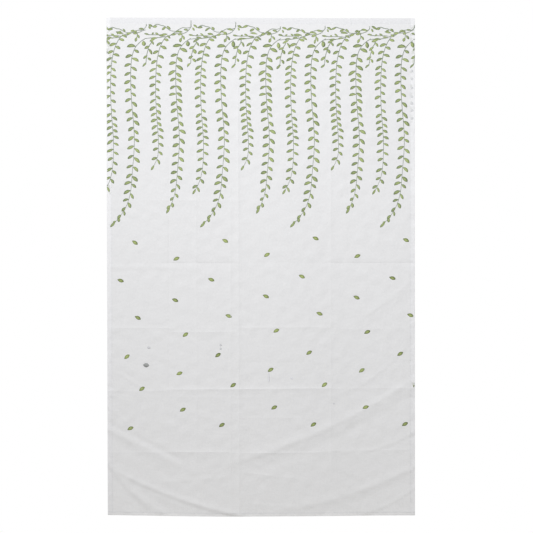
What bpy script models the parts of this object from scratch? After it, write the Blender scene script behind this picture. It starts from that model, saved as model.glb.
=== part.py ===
"""A sheer voile curtain panel, as it hangs from its top edge.

One length of cloth, turned to the back and stitched on all four sides. It still has the packing
folds of a new curtain, and soft swags run in from its sides near the foot. Metres, +Z up. The
front faces -Y, +X is to the right of someone who looks at it, and the origin is the middle of the
top edge.
"""

import bpy
import numpy as np

COLLECTION = "voile_curtain"
PANEL = "voile_panel"

# Finished size of the panel
WIDTH = 1.320
DROP = 2.130

# Thickness of the cloth, and of its hems, where it lies double
CLOTH_THICKNESS = 0.0012
HEM_THICKNESS = 0.0022

# Depth of the turned hems
SIDE_HEM = 0.020
TOP_HEM = 0.025
BOTTOM_HEM = 0.014

# The outline: each edge leaves the straight by a few millimetres. The foot's rise and sag grow
# with this power of the drop, so that they die away soon above it.
TOP_TILT = 0.0030
LEFT_PULL = 0.0064
FOOT_LOWEST_AT = -0.160
FOOT_SAG = 0.0021
FOOT_RISE_LEFT = 0.0062
FOOT_RISE_RIGHT = 0.0050
FOOT_POWER = 3

# Packing folds that run across. rise is how much higher the fold's right end is than its left
# end, depth is how far its crest stands towards the viewer, and fade is how fast it dies away.
ACROSS_COLUMNS = ("drop", "left", "right", "rise", "depth", "fade")
ACROSS_FOLDS = [
    (0.780, -0.56, 0.00, 0.000, 0.0016, 0.030),
    (1.048, -0.72, 0.72, 0.002, -0.0034, 0.036),
    (1.326, -0.72, 0.72, 0.006, 0.0030, 0.034),
    (1.588, -0.72, 0.72, 0.012, 0.0034, 0.034),
    (1.858, -0.54, 0.64, 0.008, 0.0034, 0.030),
]

# Packing folds that run down. lean is how far the foot of the fold lies to the right of its head.
DOWN_COLUMNS = ("across", "head", "foot", "lean", "depth", "fade")
DOWN_FOLDS = [
    (-0.392, 0.60, 1.72, -0.004, -0.0020, 0.024),
    (-0.277, 0.40, 2.00, 0.000, 0.0016, 0.022),
    (-0.128, 0.70, 2.24, -0.004, 0.0014, 0.018),
    (-0.098, 0.30, 2.24, 0.004, 0.0028, 0.028),
    (0.300, 0.30, 2.24, 0.000, 0.0022, 0.028),
]

# How softly a fold ends along its own line
ACROSS_ENDS = 0.10
DOWN_ENDS = 0.20

# Soft swags. Each runs from its start to its end and hangs below the straight line between them
# by hang. depth is how far its ridge stands forward, and breadth is half the ridge's width.
SWAG_COLUMNS = ("x0", "drop0", "x1", "drop1", "hang", "depth", "breadth")
SWAGS = [
    (0.720, 1.524, -0.100, 1.890, 0.041, 0.0070, 0.026),
    (-0.700, 1.722, -0.380, 1.898, 0.013, 0.0054, 0.022),
    (-0.560, 1.977, -0.110, 2.114, 0.022, 0.0056, 0.022),
    (0.700, 1.900, 0.130, 2.098, 0.024, 0.0058, 0.024),
    (-0.690, 1.605, -0.550, 1.815, 0.006, 0.0034, 0.018),
    (-0.700, 1.840, -0.480, 2.092, 0.014, 0.0040, 0.020),
    (0.642, 1.135, 0.400, 1.315, 0.006, 0.0026, 0.022),
    (0.330, 0.790, 0.196, 1.050, 0.004, 0.0024, 0.022),
]

# A swag fades over this share of its run at each end. The trough under its ridge has this share
# of the ridge's depth, and lies this many breadths lower.
SWAG_ENDS = 0.30
TROUGH_SHARE = 0.5
TROUGH_PLACE = 1.7

# Slow waves that grow from nothing at the top edge. lean turns a wave off the vertical.
WAVE_COLUMNS = ("amplitude", "length", "lean", "phase")
WAVES = [
    (0.0050, 0.92, 0.10, 0.60),
    (0.0024, 0.47, -0.14, 2.10),
]

# Below this drop the folds and swags have their full depth. The top edge is held straight.
HELD_DROP = 0.12

# Largest cell of the mesh, above and below the drop where the swags begin
CELL_ACROSS = 0.048
CELL_DOWN = 0.075
CELL_DOWN_LOW = 0.036
SWAG_DROP = 1.560
HEM_STEP = 0.0004
CLOSEST_STATIONS = 0.008
DOWN_FOLD_STATIONS = (-0.6, 0.0, 0.6)
ACROSS_FOLD_STATIONS = (-1.6, -0.6, 0.0, 0.6, 1.6)

VOILE_COLOUR = (0.83, 0.83, 0.85, 1.0)
VOILE_ROUGHNESS = 0.9


def rows_of(columns, table):
    """The rows of a table as dictionaries that are read by the names of its columns."""
    return [dict(zip(columns, row)) for row in table]


def smooth_step(share):
    """0 up to share 0, 1 from share 1, and a smooth S between them."""
    share = np.clip(share, 0.0, 1.0)
    return share * share * (3.0 - 2.0 * share)


def stretch(along, start, end, soft):
    """1 between start and end, and a smooth fade to 0 that is soft long at each end."""
    return smooth_step((along - start) / soft + 0.5) * smooth_step((end - along) / soft + 0.5)


def across_folds(x, drop):
    """Sum of the folds that run across: each a sharp crest with sides that die away."""
    height = np.zeros_like(x)
    for fold in rows_of(ACROSS_COLUMNS, ACROSS_FOLDS):
        crest = fold["drop"] - fold["rise"] * x / WIDTH
        side = np.exp(-np.abs(drop - crest) / fold["fade"])
        height += fold["depth"] * side * stretch(
            x, fold["left"], fold["right"], ACROSS_ENDS
        )
    return height


def down_folds(x, drop):
    """Sum of the folds that run down, each of the same form as one that runs across."""
    height = np.zeros_like(x)
    for fold in rows_of(DOWN_COLUMNS, DOWN_FOLDS):
        crest = fold["across"] + fold["lean"] * drop / DROP
        side = np.exp(-np.abs(x - crest) / fold["fade"])
        height += fold["depth"] * side * stretch(
            drop, fold["head"], fold["foot"], DOWN_ENDS
        )
    return height


def swags(x, drop):
    """Sum of the swags: each a rounded ridge with a shallower trough under it.

    The ridge follows a parabola between its two ends, and fades towards both of them.
    """
    height = np.zeros_like(x)
    for swag in rows_of(SWAG_COLUMNS, SWAGS):
        run = swag["x1"] - swag["x0"]
        share = (x - swag["x0"]) / run
        fall = swag["drop1"] - swag["drop0"]
        crest = swag["drop0"] + fall * share + 4.0 * swag["hang"] * share * (1.0 - share)
        slant = np.hypot(run, fall) / abs(run)
        off = (drop - crest) / (slant * swag["breadth"])
        section = np.exp(-(off**2)) - TROUGH_SHARE * np.exp(-((off - TROUGH_PLACE) ** 2))
        height += swag["depth"] * section * stretch(share, 0.0, 1.0, SWAG_ENDS)
    return height


def waves(x, drop):
    """Sum of the slow waves across the panel, which grow with the drop."""
    height = np.zeros_like(x)
    for wave in rows_of(WAVE_COLUMNS, WAVES):
        turn = 2.0 * np.pi * (x + wave["lean"] * drop) / wave["length"] + wave["phase"]
        height += wave["amplitude"] * np.sin(turn) * (drop / DROP)
    return height


def relief(x, drop):
    """How far the front of the cloth stands towards the viewer. The top edge is held straight."""
    held = smooth_step(drop / HELD_DROP)
    return held * (across_folds(x, drop) + down_folds(x, drop) + swags(x, drop)) + waves(x, drop)


def outline(x, drop):
    """The place of a point of the flat panel in the hanging one, with its uneven edges."""
    down = drop / DROP
    to_left = 0.5 - x / WIDTH
    hung_x = x + LEFT_PULL * down * to_left
    beside = x - FOOT_LOWEST_AT
    left_room = -WIDTH / 2 - FOOT_LOWEST_AT
    right_room = WIDTH / 2 - FOOT_LOWEST_AT
    rise_left = FOOT_RISE_LEFT * (beside / left_room) ** 2
    rise_right = FOOT_RISE_RIGHT * (beside / right_room) ** 2
    foot = np.where(beside < 0.0, rise_left, rise_right) - FOOT_SAG
    top = -TOP_TILT * x / WIDTH
    hung_z = -drop + foot * down**FOOT_POWER + top * (1.0 - down)
    return hung_x, hung_z


def stations(start, end, marks, cell):
    """Places from start to end with one on every mark, and steps of at most cell(place)."""
    fixed = sorted({start, end, *[mark for mark in marks if start < mark < end]})
    places = [start]
    for here, there in zip(fixed, fixed[1:]):
        steps = int(np.ceil((there - here) / cell((here + there) / 2)))
        places.extend(np.linspace(here, there, steps + 1)[1:])
    return np.array(places)


def apart(marks, gap):
    """The marks in order, without those that lie closer than gap to the one before."""
    kept = []
    for mark in sorted(marks):
        if not kept or mark - kept[-1] > gap:
            kept.append(mark)
    return kept


def column_stations():
    """Places across the panel: its hem lines and its folds, with plain cells between them."""
    marks = [
        fold["across"] + share * fold["fade"]
        for fold in rows_of(DOWN_COLUMNS, DOWN_FOLDS)
        for share in DOWN_FOLD_STATIONS
    ]
    inner = WIDTH / 2 - SIDE_HEM
    hems = [side * inner + step for side in (-1, 1) for step in (-HEM_STEP, HEM_STEP)]
    marks = apart(marks, CLOSEST_STATIONS) + hems
    return stations(-WIDTH / 2, WIDTH / 2, marks, lambda place: CELL_ACROSS)


def row_stations():
    """Places down the panel: its hem lines and its folds, with finer cells among the swags."""
    marks = [
        fold["drop"] + share * fold["fade"]
        for fold in rows_of(ACROSS_COLUMNS, ACROSS_FOLDS)
        for share in ACROSS_FOLD_STATIONS
    ]
    lines = [TOP_HEM, DROP - BOTTOM_HEM]
    hems = [line + step for line in lines for step in (-HEM_STEP, HEM_STEP)]
    marks = apart(marks, CLOSEST_STATIONS) + hems
    return stations(
        0.0, DROP, marks, lambda place: CELL_DOWN if place < SWAG_DROP else CELL_DOWN_LOW
    )


def voile_material():
    """White voile: pale, matt and not metallic."""
    material = bpy.data.materials.new("voile")
    material.use_nodes = True
    material.diffuse_color = VOILE_COLOUR
    shader = material.node_tree.nodes["Principled BSDF"]
    shader.inputs["Base Color"].default_value = VOILE_COLOUR
    shader.inputs["Roughness"].default_value = VOILE_ROUGHNESS
    shader.inputs["Metallic"].default_value = 0.0
    return material


def build_panel():
    """The panel: a grid moved to its stations and its relief, with a thickness behind it."""
    columns = column_stations()
    rows = row_stations()
    bpy.ops.mesh.primitive_grid_add(
        x_subdivisions=len(columns) - 1, y_subdivisions=len(rows) - 1, size=1.0
    )
    panel = bpy.context.object
    panel.name = PANEL
    panel.data.name = PANEL

    places = np.empty(3 * len(panel.data.vertices))
    panel.data.vertices.foreach_get("co", places)
    places = places.reshape(-1, 3)
    column = np.rint((places[:, 0] + 0.5) * (len(columns) - 1)).astype(int)
    row = np.rint((0.5 - places[:, 1]) * (len(rows) - 1)).astype(int)
    x = columns[column]
    drop = rows[row]
    hung_x, hung_z = outline(x, drop)
    places = np.column_stack([hung_x, -relief(x, drop), hung_z])
    panel.data.vertices.foreach_set("co", places.ravel())
    panel.data.update()

    in_hem = (
        (np.abs(x) > WIDTH / 2 - SIDE_HEM) | (drop < TOP_HEM) | (drop > DROP - BOTTOM_HEM)
    )
    group = panel.vertex_groups.new(name="hem")
    group.add(np.flatnonzero(in_hem).tolist(), 1.0, "REPLACE")

    wall = panel.modifiers.new("cloth", "SOLIDIFY")
    wall.thickness = HEM_THICKNESS
    wall.offset = -1.0
    wall.vertex_group = group.name
    wall.thickness_vertex_group = CLOTH_THICKNESS / HEM_THICKNESS
    panel.data.materials.append(voile_material())
    return panel


def build():
    """Clears the scene and builds the curtain in a collection of its own."""
    for old in list(bpy.data.objects):
        bpy.data.objects.remove(old)
    collection = bpy.data.collections.new(COLLECTION)
    bpy.context.scene.collection.children.link(collection)
    panel = build_panel()
    for home in list(panel.users_collection):
        home.objects.unlink(panel)
    collection.objects.link(panel)


build()
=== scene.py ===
# %% [markdown]
# # A sheer voile curtain, cut, printed, hung and sewn in code
# The real curtain is one length of sheer white voile. A border of hanging willow strands was
# printed on it, its four edges were turned to the back and stitched, and it hangs flat from its
# top edge with the pressed lines of its packing still in it. The cells follow the same order:
# how it hangs, the cut cloth, the print, the thread, the finishes and then the studio.
# The packed model comes first, because it fixes where the cloth is and how large.

import bpy
import numpy as np
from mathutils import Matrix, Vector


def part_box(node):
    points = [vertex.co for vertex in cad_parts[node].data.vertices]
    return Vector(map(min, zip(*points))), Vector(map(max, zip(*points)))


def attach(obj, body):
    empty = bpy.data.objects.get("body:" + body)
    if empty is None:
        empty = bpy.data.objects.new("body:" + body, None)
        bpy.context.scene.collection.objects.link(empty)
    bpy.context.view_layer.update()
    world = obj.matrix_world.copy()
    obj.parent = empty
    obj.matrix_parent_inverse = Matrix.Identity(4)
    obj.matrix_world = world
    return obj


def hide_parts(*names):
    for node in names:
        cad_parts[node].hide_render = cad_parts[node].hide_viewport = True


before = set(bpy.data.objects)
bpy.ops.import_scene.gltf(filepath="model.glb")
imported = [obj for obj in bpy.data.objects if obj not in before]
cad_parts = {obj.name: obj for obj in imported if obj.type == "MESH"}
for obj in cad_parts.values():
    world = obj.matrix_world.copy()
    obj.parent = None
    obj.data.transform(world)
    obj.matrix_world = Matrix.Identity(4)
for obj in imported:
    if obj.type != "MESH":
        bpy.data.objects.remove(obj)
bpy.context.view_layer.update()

PANEL_NODE = "voile_panel"
BODY = "root"
panel_low, panel_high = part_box(PANEL_NODE)
print("packed panel, metres:", [round(size, 4) for size in panel_high - panel_low])

# %% [markdown]
# ## How the panel hangs
# A place on the panel is given by two numbers: x, to the right from its middle, and drop, down
# from its top edge. The edges below are those of the packed solid, and so are the main lines of
# the folds and swags, so that the cloth lies on it. Each is a short formula with its sizes in a
# table, which is easier to correct against a photograph than a pushed and pulled mesh.

# %% Finished size and the outline
WIDTH = 1.320
DROP = 2.130
TOP_TILT = 0.0030
LEFT_PULL = 0.0064
FOOT_LOWEST_AT = -0.160
FOOT_SAG = 0.0021
FOOT_RISE_LEFT = 0.0062
FOOT_RISE_RIGHT = 0.0050
FOOT_POWER = 3


def outline(x, drop):
    """Where a point of the flat panel hangs, seen from the front.

    The left side is drawn in evenly with the drop, and the pull fades out towards the right. The
    foot is two half parabolas that meet at its lowest place, less a small sag, and grows with a
    power of the drop. The top leans evenly, and the lean is gone at the foot.
    """
    down = drop / DROP
    hung_x = x + LEFT_PULL * down * (0.5 - x / WIDTH)
    beside = x - FOOT_LOWEST_AT
    rise_left = FOOT_RISE_LEFT * (beside / (-WIDTH / 2 - FOOT_LOWEST_AT)) ** 2
    rise_right = FOOT_RISE_RIGHT * (beside / (WIDTH / 2 - FOOT_LOWEST_AT)) ** 2
    foot = np.where(beside < 0.0, rise_left, rise_right) - FOOT_SAG
    hung_z = -drop + foot * down**FOOT_POWER - TOP_TILT * x / WIDTH * (1.0 - down)
    return hung_x, hung_z


print("finished panel:", WIDTH, "by", DROP, "m, and it leans by", TOP_TILT, "m at the top")

# %% Helpers for tables and soft ends
def rows_of(columns, table):
    """The rows of a table as dictionaries that are read by the names of its columns."""
    return [dict(zip(columns, row)) for row in table]


def smooth_step(share):
    """0 up to share 0, 1 from share 1, and between them 3 share^2 - 2 share^3."""
    share = np.clip(share, 0.0, 1.0)
    return share * share * (3.0 - 2.0 * share)


def stretch(along, start, end, soft):
    """The product of two smooth steps: 1 from start to end, with a fade to 0 at each end."""
    return smooth_step((along - start) / soft + 0.5) * smooth_step((end - along) / soft + 0.5)


print("soft step at 0, 1/4, 1/2 and 1:", smooth_step(np.array([0.0, 0.25, 0.5, 1.0])))

# %% [markdown]
# ## Packing folds
# A new curtain is folded by halves and pressed in its packet. Each fold leaves a broad, faint
# ridge or valley and, along its middle, a narrow pressed line. Both are drawn with one formula,
# a crest that dies away exponentially to each side, once wide and once narrow. The wide ones are
# the packed solid's at a smaller share of their depth, because the narrow ones give most of the
# light and shade. A cloth simulation could press folds too, but not at the places that the
# photograph shows, so each has a row of its own.

# %% Broad folds of the packed solid, and the pressed lines along them
FOLD_COLUMNS = ("at", "start", "end", "slant", "depth", "fade")
ACROSS_FOLDS = [
    (0.780, -0.56, 0.00, 0.000, 0.0016, 0.030),
    (1.048, -0.72, 0.72, -0.002, -0.0034, 0.036),
    (1.326, -0.72, 0.72, -0.006, 0.0030, 0.034),
    (1.588, -0.72, 0.72, -0.012, 0.0034, 0.034),
    (1.858, -0.54, 0.64, -0.008, 0.0034, 0.030),
]
DOWN_FOLDS = [
    (-0.392, 0.60, 1.72, -0.004, -0.0020, 0.024),
    (-0.277, 0.40, 2.00, 0.000, 0.0016, 0.022),
    (-0.128, 0.70, 2.24, -0.004, 0.0014, 0.018),
    (-0.098, 0.30, 2.24, 0.004, 0.0028, 0.028),
    (0.300, 0.30, 2.24, 0.000, 0.0022, 0.028),
]
ACROSS_ENDS = 0.10
DOWN_ENDS = 0.20
FOLD_SHARE = 0.28

PRESSED_ACROSS = [
    (1.048, -0.43, -0.12, -0.002, -0.0014, 0.0035),
    (1.048, 0.28, 0.72, -0.002, -0.0013, 0.0035),
    (1.323, -0.72, -0.38, -0.006, 0.0011, 0.0040),
    (1.341, -0.40, -0.12, -0.006, 0.0018, 0.0060),
    (1.323, -0.10, 0.28, -0.006, 0.0013, 0.0040),
    (1.331, 0.30, 0.60, -0.006, 0.0007, 0.0035),
    (1.592, -0.72, -0.40, -0.012, 0.0008, 0.0040),
    (1.585, -0.40, 0.28, -0.012, 0.0030, 0.0050),
    (1.588, 0.28, 0.72, -0.012, 0.0009, 0.0040),
    (1.856, -0.72, -0.40, -0.008, 0.0009, 0.0040),
    (1.853, -0.40, -0.14, -0.008, 0.0026, 0.0050),
    (1.859, -0.12, 0.26, -0.008, 0.0015, 0.0045),
    (1.852, 0.28, 0.66, -0.008, 0.0010, 0.0040),
    (0.780, -0.56, 0.00, 0.000, 0.0006, 0.0040),
    (1.472, -0.06, 0.18, 0.000, -0.0006, 0.0040),
    (1.621, -0.62, 0.02, 0.000, 0.0005, 0.0040),
    (1.708, -0.08, 0.17, 0.000, 0.0009, 0.0040),
    (1.762, -0.54, -0.36, 0.103, 0.0009, 0.0045),
    (1.947, -0.42, -0.16, -0.113, 0.0019, 0.0045),
    (1.951, -0.07, 0.17, 0.143, 0.0018, 0.0050),
    (2.077, -0.06, 0.10, 0.100, 0.0012, 0.0045),
]
PRESSED_DOWN = [
    (-0.392, 0.60, 1.70, -0.004, -0.0010, 0.0040),
    (-0.277, 0.40, 1.90, 0.000, 0.0008, 0.0040),
    (-0.128, 0.70, 2.10, -0.004, 0.0010, 0.0050),
    (-0.098, 0.30, 2.24, 0.004, 0.0020, 0.0085),
    (0.300, 0.30, 1.90, 0.000, 0.0007, 0.0045),
]
FAR_SIDE = 2.8


def creases(place, along, table, length, ends, far_side=1.0):
    """Sum of crests, each depth * exp(-distance / fade) from a slightly slanting line.

    place is measured across the lines and along runs with them. The line has gone over by slant
    after the whole length, and each crest fades softly at its two ends. Past the line the fade
    is far_side times as wide, for a crest that was pressed over to one side.
    """
    height = np.zeros(np.shape(place))
    for fold in rows_of(FOLD_COLUMNS, table):
        off = place - fold["at"] - fold["slant"] * along / length
        fade = np.where(off > 0.0, far_side, 1.0) * fold["fade"]
        side = np.exp(-np.abs(off) / fade)
        height += fold["depth"] * side * stretch(along, fold["start"], fold["end"], ends)
    return height


print("folds:", len(ACROSS_FOLDS + DOWN_FOLDS), "and pressed lines:", len(PRESSED_ACROSS + PRESSED_DOWN))

# %% [markdown]
# ## Swags and waves
# Near the foot the cloth sags between its stiffer side hems, in soft diagonal swags. Each is a
# rounded ridge on a parabola, with a shallower trough under it, or the reverse where its depth is
# negative. The broad ones are the packed solid's at a share of their depth, and narrower crests
# lie on and between them. A simulation would find swags of its own, while these had to be the
# photograph's. Two slow waves run through the whole panel and grow from nothing at the held top
# edge.

# %% Swags of the packed solid, narrower crests, and two waves
SWAG_COLUMNS = ("x0", "drop0", "x1", "drop1", "hang", "depth", "breadth")
SWAGS = [
    (0.720, 1.524, -0.100, 1.890, 0.041, 0.0070, 0.026),
    (-0.700, 1.722, -0.380, 1.898, 0.013, 0.0054, 0.022),
    (-0.560, 1.977, -0.110, 2.114, 0.022, 0.0056, 0.022),
    (0.700, 1.900, 0.130, 2.098, 0.024, 0.0058, 0.024),
    (-0.690, 1.605, -0.550, 1.815, 0.006, 0.0034, 0.018),
    (-0.700, 1.840, -0.480, 2.092, 0.014, 0.0040, 0.020),
    (0.642, 1.135, 0.400, 1.315, 0.006, 0.0026, 0.022),
    (0.330, 0.790, 0.196, 1.050, 0.004, 0.0024, 0.022),
]
SWAG_SHARE = 0.46
SWAG_CRESTS = [
    (-0.740, 1.068, -0.330, 1.068, 0.000, 0.0011, 0.0090),
    (0.700, 1.515, -0.100, 1.893, 0.040, 0.0015, 0.0110),
    (-0.690, 1.721, -0.350, 1.885, 0.002, -0.0026, 0.0125),
    (-0.600, 1.952, -0.070, 2.126, 0.020, 0.0032, 0.0100),
    (-0.655, 1.914, -0.415, 2.116, 0.030, 0.0024, 0.0130),
    (0.660, 1.918, 0.060, 2.100, 0.034, 0.0008, 0.0100),
    (0.630, 1.138, 0.420, 1.288, 0.006, 0.0012, 0.0080),
    (0.640, 1.385, 0.390, 1.590, 0.020, 0.0011, 0.0090),
    (0.680, 1.760, 0.450, 1.853, 0.012, 0.0011, 0.0070),
    (0.670, 2.000, 0.440, 2.122, 0.015, 0.0014, 0.0080),
    (-0.670, 1.486, -0.490, 1.596, 0.000, 0.0011, 0.0070),
    (-0.680, 1.640, -0.530, 1.778, 0.000, 0.0013, 0.0070),
    (-0.130, 1.909, -0.240, 1.974, 0.000, 0.0010, 0.0060),
]
SWAG_ENDS = 0.30
TROUGH_SHARE = 0.5
TROUGH_PLACE = 1.7
WAVE_COLUMNS = ("amplitude", "length", "lean", "phase")
WAVES = [
    (0.0050, 0.92, 0.10, 0.60),
    (0.0024, 0.47, -0.14, 2.10),
]


def swags(x, drop, table):
    """Sum of ridges exp(-off^2) less a share of exp(-(off - place)^2) for the trough below.

    off is the distance below the ridge in breadths. The ridge follows a parabola between its two
    ends and fades towards both.
    """
    height = np.zeros(np.shape(x))
    for swag in rows_of(SWAG_COLUMNS, table):
        run = swag["x1"] - swag["x0"]
        share = (x - swag["x0"]) / run
        fall = swag["drop1"] - swag["drop0"]
        crest = swag["drop0"] + fall * share + 4.0 * swag["hang"] * share * (1.0 - share)
        slant = np.hypot(run, fall) / abs(run)
        off = (drop - crest) / (slant * swag["breadth"])
        section = np.exp(-(off**2)) - TROUGH_SHARE * np.exp(-((off - TROUGH_PLACE) ** 2))
        height += swag["depth"] * section * stretch(share, 0.0, 1.0, SWAG_ENDS)
    return height


def waves(x, drop):
    """Sum of amplitude * sin(2 pi (x + lean * drop) / length + phase), grown with the drop."""
    height = np.zeros(np.shape(x))
    for wave in rows_of(WAVE_COLUMNS, WAVES):
        turn = 2.0 * np.pi * (x + wave["lean"] * drop) / wave["length"] + wave["phase"]
        height += wave["amplitude"] * np.sin(turn) * (drop / DROP)
    return height


print("swags:", len(SWAGS), "with", len(SWAG_CRESTS), "narrower crests, and", len(WAVES), "waves")

# %% [markdown]
# ## The small unevenness
# Voile is never flat between its folds. It keeps a faint crumple from handling, and each seam
# draws it into short puckers. Both are sums of sine waves with seeded directions, so they are
# the same at every run and need no simulation.

# %% Crumple
CRUMPLES = 40
CRUMPLE_LENGTHS = (0.030, 0.085)
CRUMPLE_SLOPE = 0.013
CRUMPLE_SEED = 7
crumple_rng = np.random.default_rng(CRUMPLE_SEED)
crumple_length = crumple_rng.uniform(*CRUMPLE_LENGTHS, CRUMPLES)
crumple_turn = crumple_rng.uniform(0.0, np.pi, CRUMPLES)
crumple_phase = crumple_rng.uniform(0.0, 2.0 * np.pi, CRUMPLES)


def crumple(x, drop):
    """Sum of plane waves of like slope: height = slope * length / 2 pi * sin(turn + phase)."""
    height = np.zeros(np.shape(x))
    for length, turn, phase in zip(crumple_length, crumple_turn, crumple_phase):
        ahead = (x * np.cos(turn) + drop * np.sin(turn)) * 2.0 * np.pi / length
        height += CRUMPLE_SLOPE * length / (2.0 * np.pi) * np.sin(ahead + phase)
    return height


print("crumple:", CRUMPLES, "waves, the mean length in mm:", round(1000 * crumple_length.mean()))

# %% Hems, seams and their puckers
SIDE_HEM = 0.020
TOP_HEM = 0.025
BOTTOM_HEM = 0.014
SEAM_IN = 0.0015
SIDE_SEAM = WIDTH / 2 - SIDE_HEM + SEAM_IN
TOP_SEAM = TOP_HEM - SEAM_IN
FOOT_SEAM = DROP - BOTTOM_HEM + SEAM_IN
PUCKER_LENGTH = 0.031
PUCKER_DEPTH = 0.00035
PUCKER_REACH = 0.012
PUCKER_STIR = 1.7
STIR_STRETCH = 4.3


def puckers(x, drop):
    """Ripples along each seam that die away from it: depth * exp(-distance / reach) * a wave.

    The wave is a sine whose phase is stirred by a slower sine, so that no two ripples match.
    """
    height = np.zeros(np.shape(x))
    for seam, place, along in (
        (-SIDE_SEAM, x, drop),
        (SIDE_SEAM, x, drop),
        (TOP_SEAM, drop, x),
        (FOOT_SEAM, drop, x),
    ):
        turn = 2.0 * np.pi * along / PUCKER_LENGTH
        wave = np.sin(turn + PUCKER_STIR * np.sin(turn / STIR_STRETCH + seam))
        height += PUCKER_DEPTH * np.exp(-np.abs(place - seam) / PUCKER_REACH) * wave
    return height


print("seams, m:", round(SIDE_SEAM, 4), "aside,", round(TOP_SEAM, 4), "and", round(FOOT_SEAM, 4), "down")

# %% The whole relief
HELD_DROP = 0.12


def relief(x, drop):
    """How far the front of the cloth stands towards the viewer.

    The folds, swags and crumple fade in below the held top edge. The waves grow with the drop.
    """
    held = smooth_step(drop / HELD_DROP)
    folded = (
        creases(drop, x, ACROSS_FOLDS, WIDTH, ACROSS_ENDS) * FOLD_SHARE
        + creases(drop, x, PRESSED_ACROSS, WIDTH, ACROSS_ENDS, FAR_SIDE)
        + creases(x, drop, DOWN_FOLDS, DROP, DOWN_ENDS) * FOLD_SHARE
        + creases(x, drop, PRESSED_DOWN, DROP, DOWN_ENDS)
        + swags(x, drop, SWAGS) * SWAG_SHARE
        + swags(x, drop, SWAG_CRESTS)
        + crumple(x, drop)
    )
    return held * folded + waves(x, drop) + puckers(x, drop)


def panel_point(x, drop, behind):
    """A point of the finished panel, or one that lies behind its front face by so much."""
    hung_x, hung_z = outline(x, drop)
    return np.stack([hung_x, behind - relief(x, drop), hung_z], axis=-1)


RELIEF_SAMPLES = (200, 300)
sample_x = np.linspace(-WIDTH / 2, WIDTH / 2, RELIEF_SAMPLES[0])
sample_drop = np.linspace(0.0, DROP, RELIEF_SAMPLES[1])
sampled_relief = relief(*np.meshgrid(sample_x, sample_drop))
print("relief from its lowest to its highest, mm:", round(1000 * np.ptp(sampled_relief), 1))

# %% [markdown]
# ## The cut cloth and its turned hems
# A maker cuts the cloth larger than the finished panel, turns each edge to the back, tucks the
# raw edge under and stitches it. A border that is a little thicker would do from a step away, but
# here the model does what the maker does: every point is first a place on the flat cut cloth, and
# one function carries it round the hem. The print is laid on the flat cloth too, so it runs over
# the edge and into the hem, as on the real curtain.

# %% One rule that turns an edge to the back
SIDE_GAP = 0.0009
END_GAP = 0.0020
TUCK = 0.007
TUCK_RADIUS = 0.0002


def turned_edge(length, edge, hem, gap):
    """Carries a cut length, measured out from the panel's middle, round its hem.

    The cloth runs straight to the edge, goes round a half circle across the gap, comes back
    by the hem's depth, and goes round a small half circle into the tuck between the layers.
    Gives the place, how far it lies behind, and which way the printed face looks: 1 is forward.
    """
    radius = gap / 2
    start = edge - radius
    turn = np.clip((length - start) / radius, 0.0, np.pi)
    back = np.clip(length - start - np.pi * radius, 0.0, None)
    strip = hem - radius
    tuck_turn = np.clip((back - strip) / TUCK_RADIUS, 0.0, np.pi)
    tucked = np.clip(back - strip - np.pi * TUCK_RADIUS, 0.0, None)
    place = np.minimum(length, start) + radius * np.sin(turn) - np.minimum(back, strip)
    place = place - TUCK_RADIUS * np.sin(tuck_turn) + tucked
    behind = radius * (1.0 - np.cos(turn)) - TUCK_RADIUS * (1.0 - np.cos(tuck_turn))
    return place, behind, np.cos(turn) * np.cos(tuck_turn)


def cut_half(edge, hem, gap):
    """Half of the cut size, from the middle to the raw edge, by the same rule."""
    radius = gap / 2
    return edge - radius + np.pi * radius + hem - radius + np.pi * TUCK_RADIUS + TUCK


MIDDLE = DROP / 2
CUT_SIDE = cut_half(WIDTH / 2, SIDE_HEM, SIDE_GAP)
CUT_TOP = MIDDLE - cut_half(MIDDLE, TOP_HEM, END_GAP)
CUT_FOOT = MIDDLE + cut_half(MIDDLE, BOTTOM_HEM, END_GAP)
flat_size = (2 * CUT_SIDE, CUT_FOOT - CUT_TOP)
print("cut cloth:", [round(size, 4) for size in flat_size], "m")

# %% Hang a point of the cut cloth
def hang(across, down):
    """Where a point of the cut cloth is on the hanging curtain.

    across runs from the cloth's middle line and down from the finished top edge, so a point in
    the top hem has a negative down. Both pairs of edges are turned by the same rule, the sides
    first, so at a corner the turned side goes round with the top or the foot.
    """
    side_place, side_behind, _ = turned_edge(np.abs(across), WIDTH / 2, SIDE_HEM, SIDE_GAP)
    end_hem = np.where(down < MIDDLE, TOP_HEM, BOTTOM_HEM)
    end_place, end_behind, end_face = turned_edge(
        np.abs(down - MIDDLE), MIDDLE, end_hem, END_GAP
    )
    x = np.sign(across) * side_place
    drop = MIDDLE + np.sign(down - MIDDLE) * end_place
    return panel_point(x, drop, end_behind + end_face * side_behind)


print("a top corner of the cut cloth hangs at:", np.round(hang(CUT_SIDE, CUT_TOP), 4))

# %% [markdown]
# ## The cloth as a mesh
# One grid covers the whole cut. An even one, fine enough for the pressed lines, would need many
# times the faces. So its lines stand closer at the pressed lines and round the hems, and they
# follow the slant of each fold, so that a crest runs along a row of edges and never zigzags
# between two rows. Where the tucked corner would be too thick, a maker snips the bulk away, and so
# does the mesh.

# %% Lines of the grid
CLOTH_CELL = 0.0075
FINE_CELL = 0.0060
FINE_FROM = 1.35
PRESSED_STEPS = np.array([-0.004, -0.0015, 0.0, 0.0015, 0.004])
TURN_STEPS = 6
TUCK_STEPS = 3


def hem_lengths(edge, hem, gap):
    """The cut lengths where a hem starts to turn, goes round, is tucked under and ends."""
    start = edge - gap / 2
    back = start + np.pi * gap / 2
    tuck = back + hem - gap / 2
    turned = tuck + np.pi * TUCK_RADIUS
    round_edge = np.linspace(start, back, TURN_STEPS + 1)
    return np.concatenate([round_edge, np.linspace(tuck, turned, TUCK_STEPS + 1), [turned + TUCK]])


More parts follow.
